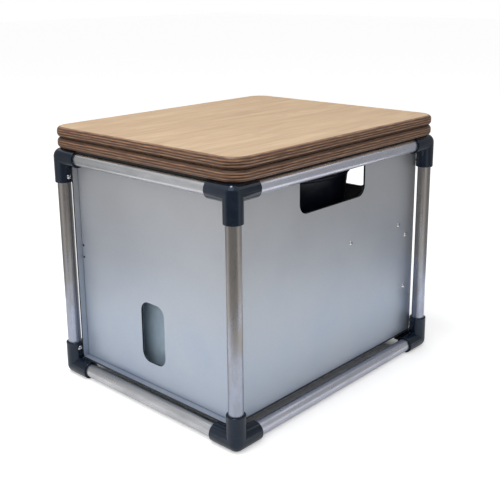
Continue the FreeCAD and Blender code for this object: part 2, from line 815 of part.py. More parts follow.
def hinge_leaf(sx, owner, bore_radius):
    """One leaf: a plate in the board's recess, cut clear of the barrel, and its own knuckles."""
    sign = -1 if owner == 0 else 1
    face = seat_top if owner == 0 else lid_bottom
    left = sx * hinge_offset - hinge_width / 2
    near_face = face + sign * leaf_thickness
    plate = box(left, left + hinge_width, hinge_y - leaf_length, hinge_y, near_face, face)
    axis = Vector(0, hinge_y, hinge_z)
    barrel_end = left + hinge_width + overrun
    clear = rod(knuckle_radius + knuckle_gap, axis + Vector(left - overrun, 0, 0),
                axis + Vector(barrel_end, 0, 0))
    leaf = plate.cut(clear)
    for x0, x1 in knuckle_spans(sx, owner):
        bridge = box(x0, x1, hinge_y - 2 * knuckle_radius, hinge_y, near_face, face)
        barrel = rod(knuckle_radius, axis + Vector(x0, 0, 0), axis + Vector(x1, 0, 0))
        leaf = leaf.fuse(bridge).fuse(barrel)
    leaf = leaf.removeSplitter()
    bore = rod(bore_radius, axis + Vector(left - overrun, 0, 0), axis + Vector(barrel_end, 0, 0))
    leaf = leaf.cut(bore)
    for x, y in leaf_screw_places(sx):
        leaf = drill(leaf, Vector(x, y, face), Vector(0, 0, sign), leaf_thickness, leaf_screw_diameter)
        sink = Part.makeCone(leaf_screw_head_diameter / 2 + hole_clearance, leaf_screw_diameter / 2,
                             leaf_screw_head_height, Vector(x, y, face), Vector(0, 0, sign))
        leaf = leaf.cut(sink)
    return leaf


def make_lid_hinges():
    parts = {}
    lower_screws = []
    upper_screws = []
    for side, sx in SIDES:
        left = sx * hinge_offset - hinge_width / 2
        parts["lid_hinge_lower_%s" % side] = hinge_leaf(sx, 0, hinge_pin_radius)
        parts["lid_hinge_upper_%s" % side] = hinge_leaf(sx, 1, hinge_pin_radius + fit_clearance)
        axis = Vector(0, hinge_y, hinge_z)
        parts["lid_hinge_pin_%s" % side] = rod(hinge_pin_radius, axis + Vector(left, 0, 0),
                                               axis + Vector(left + hinge_width, 0, 0))
        for x, y in leaf_screw_places(sx):
            for screws, face, sign in ((lower_screws, seat_top, -1), (upper_screws, lid_bottom, 1)):
                point = Vector(x, y, face)
                away = Vector(0, 0, sign)
                head = Part.makeCone(leaf_screw_head_diameter / 2, leaf_screw_diameter / 2,
                                     leaf_screw_head_height, point, away)
                shank = rod(leaf_screw_diameter / 2, point, point + away * board_screw_length)
                screws.append(join([head, shank]))
    parts["lid_hinge_lower_screws"] = group(lower_screws)
    parts["lid_hinge_upper_screws"] = group(upper_screws)
    return parts


def make_all():
    parts = {}
    parts.update(make_tubes())
    parts.update(make_connectors())
    parts.update(make_panels())
    parts.update(make_brackets())
    parts.update(make_rails())
    parts.update(make_panel_screws())
    parts.update(make_boards())
    parts.update(make_seals())
    parts.update(make_separator())
    parts.update(make_canister())
    parts.update(make_bucket())
    parts.update(make_seat_hinge())
    parts.update(make_lid_hinges())
    return parts


os.makedirs("parts", exist_ok=True)
for name, shape in make_all().items():
    shape.exportStep("parts/%s.step" % name)
    bounds = shape.BoundBox
    print("%-26s solids %2d  valid %s  volume %9.0f  z %6.1f to %6.1f"
          % (name, len(shape.Solids), shape.isValid(), shape.Volume, bounds.ZMin, bounds.ZMax))
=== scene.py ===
# %% [markdown]
# A urine-diverting dry toilet, dressed for the camera
#
# The object is a box of thin silver panels inside a frame of round aluminium tube. Eight dark plastic
# connectors hold the tubes, and two oiled birch plywood boards lie on top: the seat board and the lid.
# The shapes come from a CAD model that is loaded as a fixed frame. This lesson gives every surface a
# finish that follows how it was made, and rebuilds in Blender the pieces that show more than the CAD
# model holds: the moulded connectors and clips with their rounded edges, and the screws.

# %% Load the frame
import json
import math

import bmesh
import bpy
from mathutils import Matrix, Vector


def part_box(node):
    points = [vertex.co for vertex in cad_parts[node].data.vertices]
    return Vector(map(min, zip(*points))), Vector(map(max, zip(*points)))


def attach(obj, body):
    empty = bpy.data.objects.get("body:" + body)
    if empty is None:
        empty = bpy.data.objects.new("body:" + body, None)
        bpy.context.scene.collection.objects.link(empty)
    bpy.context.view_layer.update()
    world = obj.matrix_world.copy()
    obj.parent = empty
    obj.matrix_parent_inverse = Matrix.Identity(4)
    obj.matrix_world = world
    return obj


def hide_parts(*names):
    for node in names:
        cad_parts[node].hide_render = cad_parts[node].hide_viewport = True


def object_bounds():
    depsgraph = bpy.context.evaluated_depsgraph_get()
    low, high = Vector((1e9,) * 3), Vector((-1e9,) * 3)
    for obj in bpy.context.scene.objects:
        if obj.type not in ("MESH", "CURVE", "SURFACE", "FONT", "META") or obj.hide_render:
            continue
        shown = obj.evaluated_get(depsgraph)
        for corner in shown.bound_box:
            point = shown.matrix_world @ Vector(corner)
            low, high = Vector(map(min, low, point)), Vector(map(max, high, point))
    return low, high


MM = 0.001
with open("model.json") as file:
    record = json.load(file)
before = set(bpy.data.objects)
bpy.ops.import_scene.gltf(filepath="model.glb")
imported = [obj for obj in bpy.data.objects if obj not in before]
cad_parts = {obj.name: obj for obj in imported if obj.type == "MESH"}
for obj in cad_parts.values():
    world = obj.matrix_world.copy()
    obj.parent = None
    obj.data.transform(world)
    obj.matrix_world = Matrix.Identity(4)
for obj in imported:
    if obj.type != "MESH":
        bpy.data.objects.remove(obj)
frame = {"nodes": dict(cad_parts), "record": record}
nodes = frame["nodes"]
cad_low, cad_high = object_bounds()

# %% [markdown]
# The camera repeats the photograph's. A photograph of straight tubes gives it away: where the edges of
# the posts and rails fall in the picture fixes the camera's turn, tilt, distance and lens. The numbers
# below come from such a fit, made from the tubes' edges. The lens is slightly shifted, because
# the picture was cropped below its middle.

# %% Camera
SENSOR_MM = 36.0
PICTURE_PIXELS = 500.0
FOCAL_PIXELS = 831.6
CENTRE_ROW_PIXELS = 200.0
CAMERA_TURN = math.radians(42.81)
CAMERA_TILT = math.radians(14.51)
CAMERA_ROLL = math.radians(-0.53)
CAMERA_DISTANCE = 1.2668
CAMERA_TARGET = Vector((-0.0006, 0.0, 0.2597))


def make_camera():
    """A camera that looks at the target from its turn and tilt."""
    back = Vector((math.sin(CAMERA_TURN) * math.cos(CAMERA_TILT),
                   -math.cos(CAMERA_TURN) * math.cos(CAMERA_TILT), math.sin(CAMERA_TILT)))
    level = Vector((math.cos(CAMERA_TURN), math.sin(CAMERA_TURN), 0))
    upright = back.cross(level)
    right = level * math.cos(CAMERA_ROLL) + upright * math.sin(CAMERA_ROLL)
    up = upright * math.cos(CAMERA_ROLL) - level * math.sin(CAMERA_ROLL)
    camera = bpy.data.objects.new("camera", bpy.data.cameras.new("camera"))
    bpy.context.scene.collection.objects.link(camera)
    turn = Matrix((right, up, back)).transposed().to_4x4()
    camera.matrix_world = Matrix.Translation(CAMERA_TARGET + back * CAMERA_DISTANCE) @ turn
    camera.data.sensor_width = SENSOR_MM
    camera.data.lens = FOCAL_PIXELS * SENSOR_MM / PICTURE_PIXELS
    camera.data.shift_y = (CENTRE_ROW_PIXELS - PICTURE_PIXELS / 2) / PICTURE_PIXELS
    bpy.context.scene.camera = camera
    return camera


camera = make_camera()
print("lens", round(camera.data.lens, 2), "mm, shift", round(camera.data.shift_y, 3))

# %% [markdown]
# Every material below is a tree of nodes. Small helpers keep the trees readable. paint() turns an sRGB hex
# colour, as a paint chart gives it, to the linear numbers that Blender works with. add() adds one node
# with its settings and links in a single line, and the others build on it.

# %% Helpers for colours and nodes
def paint(hex_code):
    """An sRGB hex colour as linear red, green, blue and alpha."""
    channels = [int(hex_code[i:i + 2], 16) / 255 for i in (1, 3, 5)]
    linear = [c / 12.92 if c <= 0.04045 else ((c + 0.055) / 1.055) ** 2.4 for c in channels]
    return (*linear, 1.0)


def add(tree, kind, inputs=None, **settings):
    """Adds a node. Settings are its properties; inputs are values or sockets, by name or number."""
    made = tree.nodes.new(kind)
    for key, value in settings.items():
        setattr(made, key, value)
    for key, value in (inputs or {}).items():
        if isinstance(value, bpy.types.NodeSocket):
            tree.links.new(value, made.inputs[key])
        else:
            made.inputs[key].default_value = value
    return made


def ramp(tree, factor, stops):
    """A colour ramp from (place, hex colour) pairs."""
    made = add(tree, "ShaderNodeValToRGB", {"Fac": factor})
    elements = made.color_ramp.elements
    while len(elements) < len(stops):
        elements.new(0.5)
    for element, (place, hex_code) in zip(elements, stops):
        element.position = place
        element.color = paint(hex_code)
    return made.outputs["Color"]


def start_material(name):
    """An empty material with a Principled shader on its output, and the tree's usual sockets."""
    material = bpy.data.materials.new(name)
    material.use_nodes = True
    tree = material.node_tree
    shader = tree.nodes["Principled BSDF"]
    place = add(tree, "ShaderNodeTexCoord").outputs["Object"]
    return material, tree, shader, place


def noise(tree, place, feature_mm, stretch=(1, 1, 1), detail=3.0, roughness=0.5):
    """Noise whose features are feature_mm wide, drawn out along an axis by its stretch."""
    scale = [1 / (feature_mm * MM * s) for s in stretch]
    mapped = add(tree, "ShaderNodeMapping", {"Vector": place, "Scale": scale})
    made = add(tree, "ShaderNodeTexNoise", {"Vector": mapped.outputs[0], "Scale": 1.0, "Detail": detail,
                                            "Roughness": roughness})
    return made.outputs["Fac"]


def between(tree, value, low, high, to_low=0.0, to_high=1.0):
    """Maps a value from one range to another, held at both ends."""
    made = add(tree, "ShaderNodeMapRange", {"Value": value, "From Min": low, "From Max": high,
                                            "To Min": to_low, "To Max": to_high})
    return made.outputs["Result"]


def mix(tree, factor, first, second):
    """Mixes two colours."""
    made = add(tree, "ShaderNodeMix", data_type="RGBA")
    for socket, value in ((made.inputs[0], factor), (made.inputs[6], first), (made.inputs[7], second)):
        if isinstance(value, bpy.types.NodeSocket):
            tree.links.new(value, socket)
        else:
            socket.default_value = value
    return made.outputs[2]


def calc(tree, operation, first, second=0.0):
    """One sum on two values."""
    return add(tree, "ShaderNodeMath", {0: first, 1: second}, operation=operation).outputs[0]


def bump(tree, height, depth_mm, strength):
    """A bump from a height of 0 to 1 that stands for depth_mm."""
    return add(tree, "ShaderNodeBump", {"Height": height, "Distance": depth_mm * MM,
                                        "Strength": strength}).outputs["Normal"]


def coordinate(tree, vector, axis):
    """One coordinate of a vector: 0, 1 or 2."""
    return add(tree, "ShaderNodeSeparateXYZ", {0: vector}).outputs[axis]


# %% [markdown]
# The tubes are drawn aluminium, left as it comes from the mill. The die leaves fine lines along the tube,
# and storage adds dull grey patches and a few bright scratches. Each pattern is stretched along the
# tube's own axis, so there is one material for each direction; the three copies also differ in colour,
# which is painted light. The upright posts' upper halves are painted darker and warmer than their feet,
# a painted shade that stands in for the reflection of dark surroundings.

# %% Mill-finish aluminium for the tubes
SCRATCH_HEX = "#E6E5E2"
# Heights in metres between which the posts' painted shade sets in, and how far dull patches shift them
PAINTED_SHADE_FROM, PAINTED_SHADE_FULL, PAINTED_SHADE_SWAY = 0.08, 0.2, 0.06
DRAWN_MM = 0.01


def mill_aluminium(name, axis, base_hex, dull_hex, painted_shade_hex=None):
    """Drawn aluminium with its lines along axis 0, 1 or 2, painted darker upwards as painted shade."""
    material, tree, shader, place = start_material(name)
    along = [1, 1, 1]
    along[axis] = 60
    lines = noise(tree, place, 0.5, along, 4.0, 0.6)
    along[axis] = 3
    patches = noise(tree, place, 16, along, 4.0, 0.62)
    along[axis] = 8
    scuffs = noise(tree, place, 2.2, along, 3.0, 0.7)
    dull = between(tree, patches, 0.4, 0.7)
    colour = mix(tree, dull, paint(base_hex), paint(dull_hex))
    if painted_shade_hex:
        # Painted shade: the post turns darker and warmer upwards, standing in for a reflection of dark
        # surroundings.
        height = calc(tree, "ADD", coordinate(tree, place, 2),
                      between(tree, patches, 0.3, 0.7, -PAINTED_SHADE_SWAY, PAINTED_SHADE_SWAY))
        painted_shade = between(tree, height, PAINTED_SHADE_FROM, PAINTED_SHADE_FULL)
        colour = mix(tree, painted_shade, colour, paint(painted_shade_hex))
    scratch = between(tree, scuffs, 0.66, 0.76, 0.0, 0.3)
    colour = mix(tree, scratch, colour, paint(SCRATCH_HEX))
    tree.links.new(colour, shader.inputs["Base Color"])
    rough = calc(tree, "ADD", between(tree, patches, 0.35, 0.7, 0.24, 0.38),
                 between(tree, lines, 0.3, 0.7, -0.04, 0.06))
    tree.links.new(rough, shader.inputs["Roughness"])
    tree.links.new(bump(tree, lines, DRAWN_MM, 0.3), shader.inputs["Normal"])
    shader.inputs["Metallic"].default_value = 1.0
    return material


# Painted light: the side rails are painted lighter and bluer and the posts darker and bluer than the front
# and rear rails, though all are one aluminium.
tube_along = [mill_aluminium("mill_aluminium_tube_x", 0, "#BFC0C3", "#AFB0B3"),
              mill_aluminium("mill_aluminium_tube_y", 1, "#CACCD8", "#BABCC8"),
              mill_aluminium("mill_aluminium_post", 2, "#9CA2B2", "#8F95A2", "#96928F")]
angle_aluminium = mill_aluminium("mill_aluminium_angle", 1, "#C4C3C0", "#ADABA8")

# %% [markdown]
# The connectors are injection-moulded nylon with glass fibre, coloured a blue-black slate. Such a surface
# is not mirror-smooth: a fine spark-eroded grain in the mould breaks the reflection up, and handling
# polishes it here and there, so the roughness wanders. The two halves of the connectors' mould meet in the
# plane of the level sockets, and leave a hair-fine raised seam at that height.

# %% Moulded plastics
SEAM_MM = 0.12
SEAM_CREST_MM, SEAM_FOOT_MM = 0.1, 0.4
GRAIN_STRENGTH = 0.5


def moulded_plastic(name, base_hex, worn_hex, roughness, grain_mm=0.35, depth_mm=0.02, ior=1.5,
                    seam_heights=()):
    """A moulded plastic: even colour with faint clouding, the mould's fine grain, and its seams."""
    material, tree, shader, place = start_material(name)
    cloud = noise(tree, place, 12, detail=4.0)
    colour = mix(tree, between(tree, cloud, 0.4, 0.72), paint(base_hex), paint(worn_hex))
    tree.links.new(colour, shader.inputs["Base Color"])
    tree.links.new(between(tree, cloud, 0.3, 0.7, roughness - 0.04, roughness + 0.06),
                   shader.inputs["Roughness"])
    grain = noise(tree, place, grain_mm, detail=2.0)
    if seam_heights:
        grain = calc(tree, "MULTIPLY", grain, depth_mm / SEAM_MM)
        height = coordinate(tree, place, 2)
        for level in seam_heights:
            off = calc(tree, "ABSOLUTE", calc(tree, "SUBTRACT", height, level))
            ridge = between(tree, off, SEAM_CREST_MM * MM, SEAM_FOOT_MM * MM, 1.0, 0.0)
            grain = calc(tree, "ADD", grain, ridge)
        depth_mm = SEAM_MM
    tree.links.new(bump(tree, grain, depth_mm, GRAIN_STRENGTH), shader.inputs["Normal"])
    shader.inputs["IOR"].default_value = ior
    return material


rail_heights = [(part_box(name)[0].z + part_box(name)[1].z) / 2
                for name in ("rail_bottom_front", "rail_top_front")]
connector_nylon = moulded_plastic("glass_filled_nylon", "#0A1320", "#121C2B", 0.07, depth_mm=0.003,
                                  seam_heights=rail_heights)
nylon_shader = connector_nylon.node_tree.nodes["Principled BSDF"]
nylon_shader.inputs["Specular Tint"].default_value = paint("#D3E0F2")
black_abs = moulded_plastic("black_abs", "#121314", "#1C1D1F", 0.42)
separator_abs = moulded_plastic("white_abs", "#DEDFDD", "#D8D9D6", 0.2, grain_mm=0.8, depth_mm=0.004)
bucket_polypropylene = moulded_plastic("black_polypropylene", "#0A1020", "#121A2C", 0.34, ior=1.49)
canister_polyethylene = moulded_plastic("natural_polyethylene", "#9AAEBD", "#A5B7C5", 0.4,
                                        grain_mm=1.5, depth_mm=0.05, ior=1.51)
seal_foam = moulded_plastic("closed_cell_foam", "#17181A", "#232426", 0.8, grain_mm=0.9, depth_mm=0.25)
print("plastics ready")

# %% [markdown]
# The panels are aluminium composite: two silver-lacquered aluminium skins on a black plastic core, 3 mm
# in all. The lacquer carries metal flakes, so it reflects like a soft metal. Where the sheet was routed,
# at its outer edges and in the notches, the black core shows between two bright lines. The core is found
# from the distance to the sheet's middle, along the axis that the sheet is thin in.

# %% Silver composite for the panels
SKIN_MM = 0.25
CORE_HEX = "#17181A"
LACQUER_HIGH_HEX, LOW_REFLECTION_HEX = "#B5B6BA", "#A3AEBF"
LACQUER_CLOUD_HEX, FLAKE_HEX = "#BEC4CA", "#D9DCDE"
# Heights in metres between which a painted reflection turns the lacquer cooler towards the ground
REFLECTION_FROM, REFLECTION_FULL = 0.3, 0.1
FLAKE_DEPTH_MM = 0.01


def silver_composite(node_name, axis):
    """Lacquered composite sheet, thin along axis 0, 1 or 2 of the frame."""
    material, tree, shader, place = start_material("silver_composite_" + node_name)
    low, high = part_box(node_name)
    middle = (low[axis] + high[axis]) / 2
    half_core = (high[axis] - low[axis]) / 2 - SKIN_MM * MM
    along = coordinate(tree, place, axis)
    off_middle = calc(tree, "ABSOLUTE", calc(tree, "SUBTRACT", along, middle))
    core = calc(tree, "LESS_THAN", off_middle, half_core)
    cloud = noise(tree, place, 90, detail=3.0)
    flakes = noise(tree, place, 0.9, detail=1.0)
    # Painted reflection: the sheet's colour turns cooler and bluer towards the ground, standing in for the
    # bright floor's reflection.
    painted_reflection = between(tree, coordinate(tree, place, 2), REFLECTION_FROM, REFLECTION_FULL)
    silver = mix(tree, painted_reflection, paint(LACQUER_HIGH_HEX), paint(LOW_REFLECTION_HEX))
    silver = mix(tree, between(tree, cloud, 0.35, 0.65, 0.0, 0.35), silver, paint(LACQUER_CLOUD_HEX))
    silver = mix(tree, between(tree, flakes, 0.35, 0.75, 0.0, 0.12), silver, paint(FLAKE_HEX))
    tree.links.new(mix(tree, core, silver, paint(CORE_HEX)), shader.inputs["Base Color"])
    tree.links.new(calc(tree, "MULTIPLY", calc(tree, "SUBTRACT", 1.0, core), 0.7),
                   shader.inputs["Metallic"])
    rough = between(tree, cloud, 0.3, 0.7, 0.36, 0.44)
    tree.links.new(calc(tree, "ADD", rough, calc(tree, "MULTIPLY", core, 0.2)), shader.inputs["Roughness"])
    tree.links.new(bump(tree, flakes, FLAKE_DEPTH_MM, 0.3), shader.inputs["Normal"])
    return material


# %% [markdown]
# The boards are plywood of nine veneers, laid crosswise in turn, with pale birch on both faces. On the
# face you see one veneer, its grain running front to back in soft patches. The rounded edge is cut through
# all nine, so it shows them as contour lines: a veneer cut along its fibres stays light, and one cut
# across them drinks the oil with its open ends and turns nearly black. The lines swell and fade along the
# board, because no veneer is of even thickness. The shader tells face from edge by the surface's own
# upright normal, and counts the veneers by height.

# %% Oiled birch plywood
VENEERS = 9
SMEAR_HEX, GAP_SHADE_HEX, FLECK_HEX = "#68452F", "#1E130E", "#93704F"
GROWTH_RINGS = 11
RING_CONTRAST = 0.055
PORE_DEPTH_MM = 0.05
# The upright part of the normal: below the first the surface counts as edge, above the second as face
EDGE_BELOW, FACE_ABOVE = 0.955, 0.985


def birch_plywood(node_name, face_hexes, light_hexes, dark_hexes, gap_from, gap_to):
    """Plywood whose veneers are slices in height; between two of the heights the edge carries painted shade.
    """
    material, tree, shader, place = start_material("oiled_birch_plywood_" + node_name)
    low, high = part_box(node_name)
    share = between(tree, coordinate(tree, place, 2), low.z, high.z, 0.0, VENEERS)
    wander = between(tree, noise(tree, place, 60, (1, 1, 0.25), detail=2.0), 0.3, 0.7, -0.2, 0.2)
    count = calc(tree, "ADD", share, wander)
    # A wave that is one in the middle of every second veneer and minus one between them
    wave = calc(tree, "COSINE", calc(tree, "MULTIPLY", calc(tree, "SUBTRACT", count, 0.5), math.pi))
    strength = between(tree, noise(tree, place, 26, (1, 1, 0.06), detail=4.0), 0.35, 0.65, -0.6, 0.5)
    dark = between(tree, calc(tree, "SUBTRACT", strength, wave), -0.75, 0.05)
    fibres = noise(tree, place, 0.7, (18, 18, 0.7), 4.0, 0.65)
    light_ply = mix(tree, between(tree, fibres, 0.3, 0.7), paint(light_hexes[0]), paint(light_hexes[1]))
    dark_ply = mix(tree, between(tree, fibres, 0.4, 0.7), paint(dark_hexes[0]), paint(dark_hexes[1]))
    edge = mix(tree, dark, light_ply, dark_ply)
    # Here and there oil and handling have made the lines run together
    smear = between(tree, noise(tree, place, 20, (1, 1, 0.3), 4.0, 0.6), 0.4, 0.62, 0.0, 0.6)
    edge = mix(tree, smear, edge, paint(SMEAR_HEX))
    # Painted shade: the lid's lower edge and the seat's upper edge, which face each other across the gap,
    # are painted nearly black.
    gap_shade = between(tree, count, gap_from, gap_to)
    edge = mix(tree, calc(tree, "MULTIPLY", gap_shade, 0.85), edge, paint(GAP_SHADE_HEX))

    # The log is peeled round and round, so its growth rings show as contour lines of a slow hilly field
    clouds = noise(tree, place, 45, (1, 2.2, 1), 3.0, 0.55)
    hills = noise(tree, place, 48, (1, 5, 1), 2.0, 0.4)
    rings = calc(tree, "SINE", calc(tree, "MULTIPLY", hills, math.tau * GROWTH_RINGS))
    streaks = noise(tree, place, 1.6, (1, 45, 1), 4.0, 0.6)
    flecks = noise(tree, place, 1.1, (1, 4, 1), 1.0, 0.5)
    figure = calc(tree, "ADD", calc(tree, "MULTIPLY", rings, RING_CONTRAST),
                  noise(tree, place, 14, (1, 9, 1), 4.0, 0.5))
    face = ramp(tree, figure, ((0.27, face_hexes[0]), (0.5, face_hexes[1]), (0.73, face_hexes[2])))
    face = mix(tree, between(tree, clouds, 0.35, 0.68, 0.0, 0.5), face, paint(face_hexes[3]))
    face = mix(tree, between(tree, streaks, 0.45, 0.7, 0.0, 0.22), face, paint(face_hexes[4]))
    face = mix(tree, between(tree, flecks, 0.72, 0.78, 0.0, 0.45), face, paint(FLECK_HEX))
    upright = coordinate(tree, add(tree, "ShaderNodeTexCoord").outputs["Normal"], 2)
    flat = between(tree, calc(tree, "ABSOLUTE", upright), EDGE_BELOW, FACE_ABOVE)
    tree.links.new(mix(tree, flat, edge, face), shader.inputs["Base Color"])
    tree.links.new(between(tree, streaks, 0.3, 0.7, 0.4, 0.52), shader.inputs["Roughness"])
    tree.links.new(bump(tree, streaks, PORE_DEPTH_MM, 0.5), shader.inputs["Normal"])
    return material


face_birch = ("#B99977", "#C5A683", "#D4B993", "#CBAD88", "#AA8A67")
light_veneers = ("#80593D", "#AC8562")
dark_veneers = ("#2C170E", "#523120")
lid_plywood = birch_plywood("lid_board", face_birch, light_veneers, dark_veneers, 1.5, 0.4)
seat_plywood = birch_plywood("seat_board", face_birch, light_veneers, dark_veneers, 7.5, 8.6)

# %% [markdown]
# Small metal parts: stainless hinges and nuts are tumbled to a soft shine, the dome-head screws are
# polished and so take up light and dark from all round, and the bucket's bail is galvanised wire with a
# duller, mottled skin.

# %% Small metals
def bright_metal(name, base_hex, dull_hex, roughness, patch_mm):
    """A bare metal with slight patches of dullness."""
    material, tree, shader, place = start_material(name)
    patches = noise(tree, place, patch_mm, detail=4.0)
    tree.links.new(mix(tree, between(tree, patches, 0.4, 0.7), paint(base_hex), paint(dull_hex)),
                   shader.inputs["Base Color"])
    tree.links.new(between(tree, patches, 0.3, 0.7, roughness - 0.05, roughness + 0.1),
                   shader.inputs["Roughness"])
    shader.inputs["Metallic"].default_value = 1.0
    return material


stainless = bright_metal("tumbled_stainless_steel", "#C6C6C4", "#B7B7B5", 0.24, 3.0)
dome_steel = bright_metal("polished_stainless_heads", "#D8D9DC", "#7C7D81", 0.07, 1.5)
galvanised = bright_metal("galvanised_wire", "#B4B8BC", "#8E9296", 0.38, 2.5)


# %% Dress the CAD nodes
def dress(name, material):
    """Gives a CAD node its material. Its mesh stays as it is."""
    mesh = nodes[name].data
    mesh.materials.clear()
    mesh.materials.append(material)


RAIL_AXIS = {"left": 1, "right": 1, "front": 0, "rear": 0}
PANEL_AXIS = {"panel_left": 0, "panel_right": 0, "panel_front": 1, "panel_back": 1, "panel_floor": 2}
for name in nodes:
    if name.startswith("post_"):
        dress(name, tube_along[2])
    elif name.startswith("rail_"):
        dress(name, tube_along[RAIL_AXIS[name.split("_")[-1]]])
    elif name in PANEL_AXIS:
        dress(name, silver_composite(name, PANEL_AXIS[name]))
    elif "screws" in name or "nuts" in name or name.startswith("lid_hinge"):
        dress(name, stainless)
    elif name.startswith(("bracket_", "floor_angle", "bucket_rail", "bucket_stay")):
        dress(name, angle_aluminium)
    elif name.startswith(("connector_", "seat_clip")):
        dress(name, connector_nylon)
dress("lid_board", lid_plywood)
dress("seat_board", seat_plywood)
dress("seat_seals", seal_foam)
dress("panel_pins", black_abs)
dress("bail_grip", black_abs)
dress("bucket_bail", galvanised)
dress("separator", separator_abs)
dress("solids_bucket", bucket_polypropylene)
dress("urine_canister", canister_polyethylene)
print("dressed", sum(1 for n in nodes.values() if n.data.materials), "nodes")

# %% [markdown]
# Most screws of the object are dome-head screws with a hexagon socket. One is easy to model, but there are
# more than twenty, so Geometry Nodes make them: the tree shapes one screw from named sizes and sets it on
# every point of a point cloud, turned to that point's axis and by a chance angle about it, because nobody
# lines up the sockets. The points come from the CAD screws: each is one loose island of its node.

# %% Where the screws sit
DOUBLES = 1e-6
SAME_PLACE = 1e-5
RIM_SHARE = 0.985


def merged_copy(name):
    """A node's mesh with its doubles merged, as bmesh."""
    shape = bmesh.new()
    shape.from_mesh(nodes[name].data)
    bmesh.ops.remove_doubles(shape, verts=shape.verts, dist=DOUBLES)
    return shape


def islands(shape):
    """The loose parts of a bmesh, each as a list of points, in the order of their first vertices."""
    seen, found = set(), []
    for start in shape.verts:
        if start in seen:
            continue
        seen.add(start)
        queue, part = [start], []
        while queue:
            vertex = queue.pop()
            part.append(vertex.co.copy())
            for edge in vertex.link_edges:
                other = edge.other_vert(vertex)
                if other not in seen:
                    seen.add(other)
                    queue.append(other)
        found.append(part)
    return found


def off_axis(point, middle, axis):
    """How far a point lies from the line through middle along an axis."""
    return math.hypot(point[(axis + 1) % 3] - middle[(axis + 1) % 3],
                      point[(axis + 2) % 3] - middle[(axis + 2) % 3])


def screw_places(name):
    """For every screw in a node: its seat, its outward axis, and its head and shank sizes."""
    shape = merged_copy(name)
    places = []
    for part in islands(shape):
        low = Vector(min(p[i] for p in part) for i in range(3))
        high = Vector(max(p[i] for p in part) for i in range(3))
        size, middle = high - low, (low + high) / 2
        axis = min(range(3), key=lambda i: abs(size[(i + 1) % 3] - size[(i + 2) % 3]))
        across = size[(axis + 1) % 3]
        # The head's rim is the widest ring, and it lies on the seat
        rim = [p[axis] for p in part if off_axis(p, middle, axis) > across / 2 * RIM_SHARE]
        seat = sum(rim) / len(rim)
        outward = 1 if abs(high[axis] - seat) < abs(seat - low[axis]) else -1
        tip = high[axis] if outward > 0 else low[axis]
        end = low[axis] if outward > 0 else high[axis]
        shank = max(off_axis(p, middle, axis) for p in part if abs(p[axis] - end) < SAME_PLACE)
        point = middle.copy()
        point[axis] = seat
        direction = Vector((0, 0, 0))
        direction[axis] = outward
        places.append({"point": point, "axis": direction, "head": across, "height": abs(tip - seat),
                       "shank": 2 * shank, "length": abs(seat - end)})
    shape.free()
    return places


SUNK_NODES = [name for name in nodes if name.startswith("lid_hinge") and name.endswith("_screws")]
SCREW_NODES = [name for name in nodes if name.endswith("_screws") and name not in SUNK_NODES]
for name in SCREW_NODES + SUNK_NODES:
    first = screw_places(name)[0]
    print(name, len(screw_places(name)), {key: round(first[key] / MM, 2) for key in
                                          ("head", "height", "shank", "length")})

# %% The tree that makes and sets dome-head screws
SHANK_SIDES = 24


def new_tree(name, inputs):
    """An empty Geometry Nodes tree with a geometry socket each way, and named inputs."""
    tree = bpy.data.node_groups.new(name, "GeometryNodeTree")
    tree.interface.new_socket("Geometry", in_out="INPUT", socket_type="NodeSocketGeometry")
    for label, kind in inputs:
        tree.interface.new_socket(label, in_out="INPUT", socket_type="NodeSocket" + kind)
    tree.interface.new_socket("Geometry", in_out="OUTPUT", socket_type="NodeSocketGeometry")
    return tree, add(tree, "NodeGroupInput").outputs, add(tree, "NodeGroupOutput")


def set_on_points(tree, given, screw, result):
    """The last nodes of both screw trees: the screw on every point, turned to the point's axis."""
    smooth = add(tree, "GeometryNodeSetShadeSmooth", {"Geometry": screw.outputs[0], "Shade Smooth": True})
    axis = add(tree, "GeometryNodeInputNamedAttribute", {"Name": "axis"}, data_type="FLOAT_VECTOR")
    facing = add(tree, "FunctionNodeAlignRotationToVector", {"Vector": axis.outputs[0]}, axis="Z")
    chance = add(tree, "FunctionNodeRandomValue", {"Seed": given["Seed"]}, data_type="FLOAT")
    turn = add(tree, "ShaderNodeCombineXYZ", {2: chance.outputs[1]})
    turned = add(tree, "FunctionNodeRotateRotation", {"Rotation": facing.outputs[0],
                                                      "Rotate By": turn.outputs[0]}, rotation_space="LOCAL")
    placed = add(tree, "GeometryNodeInstanceOnPoints", {
        "Points": given["Geometry"], "Instance": smooth.outputs[0], "Rotation": turned.outputs[0]})
    real = add(tree, "GeometryNodeRealizeInstances", {"Geometry": placed.outputs[0]})
    painted = add(tree, "GeometryNodeSetMaterial", {"Geometry": real.outputs[0],
                                                    "Material": given["Material"]})
    tree.links.new(painted.outputs[0], result.inputs[0])


def raised(tree, mesh_node, height):
    """What a mesh node gives, moved up by a height."""
    shift = add(tree, "ShaderNodeCombineXYZ", {2: height})
    return add(tree, "GeometryNodeTransform", {"Geometry": mesh_node.outputs[0],
                                               "Translation": shift.outputs[0]})


